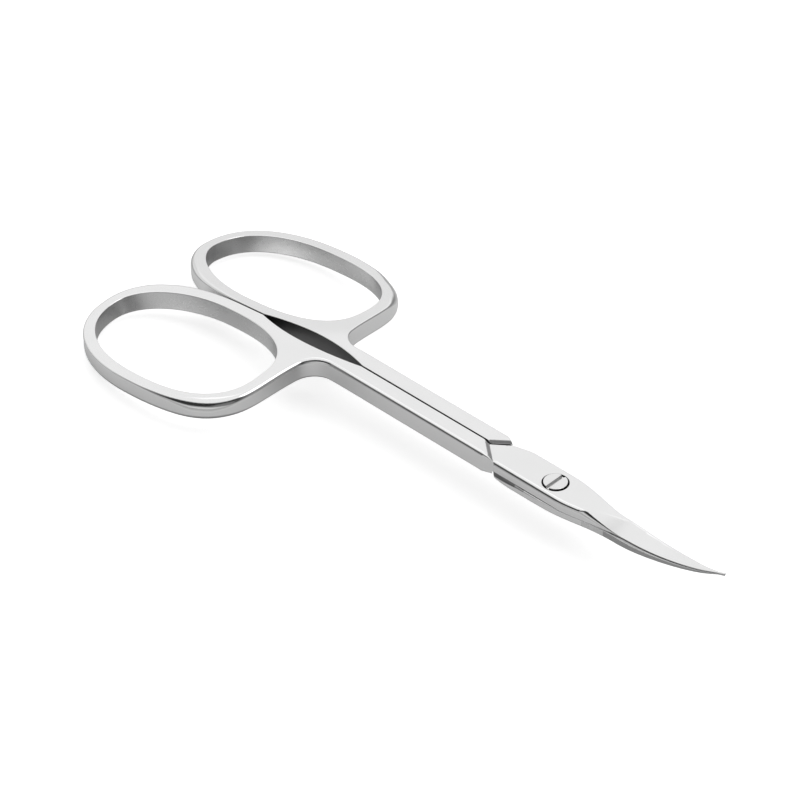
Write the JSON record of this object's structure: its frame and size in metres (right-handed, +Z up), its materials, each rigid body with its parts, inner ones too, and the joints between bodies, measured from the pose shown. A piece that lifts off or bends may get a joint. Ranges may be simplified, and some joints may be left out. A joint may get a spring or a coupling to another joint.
{
  "type": "cuticle scissors",
  "caption": "Small steel cuticle scissors with large oval finger rings, slim shanks, a screwed lap joint and short upward-curved blades.",
  "frame": {"origin": "on the screw's axis, in the plane of the lower half's flat underside at the joint", "axes": "+X along the closed scissors towards the blade tips, +Y across them towards the lower half's ring, +Z up along the screw towards its slotted head"},
  "size_m": [0.1093, 0.0442, 0.0094],
  "materials": {
    "steel": "finely polished stainless steel",
    "screw_steel": "polished stainless steel"
  },
  "bodies": {
    "lower_body": {"lower_half": "steel", "pivot_screw": "screw_steel"},
    "upper_body": {"upper_half": "steel"}
  },
  "joints": [
    {"name": "pivot", "type": "hinge", "parent": "lower_body", "child": "upper_body", "pos_m": [0, 0, 0], "axis": [0, 0, 1], "range_deg": [0, 50]}
  ]
}
